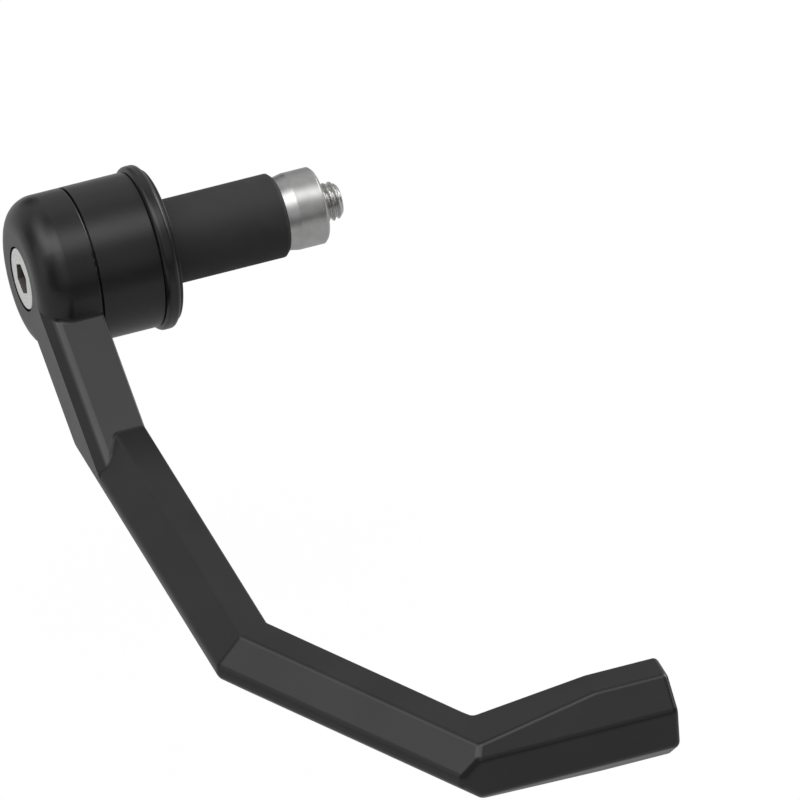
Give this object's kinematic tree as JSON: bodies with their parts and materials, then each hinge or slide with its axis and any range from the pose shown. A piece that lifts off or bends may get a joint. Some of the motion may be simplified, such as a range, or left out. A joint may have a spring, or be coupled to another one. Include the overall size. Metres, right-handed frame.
{
  "type": "motorcycle lever guard",
  "caption": "Bar-end lever guard: a bent, bevelled moulded arm with a domed cap, clamped into a handlebar by a screw and an expanding bush.",
  "frame": {"origin": "on the handlebar's axis, at the end of the bar", "axes": "+X inboard along the bar, -Y forward, +Z square to the flat of the blade"},
  "size_m": [0.0784, 0.1881, 0.0481],
  "materials": {
    "guard_black": "satin black moulding",
    "sleeve_black": "satin black",
    "collar_black": "satin black",
    "screw_steel": "bright stainless steel",
    "bush_rubber": "matt black rubber",
    "nut_metal": "bright zinc plate"
  },
  "bodies": {
    "root": {"guard_arm": "guard_black", "spacer_sleeve": "sleeve_black", "collar_ring": "collar_black", "clamp_screw": "screw_steel", "expander_bush": "bush_rubber", "cone_nut": "nut_metal"}
  },
  "joints": []
}
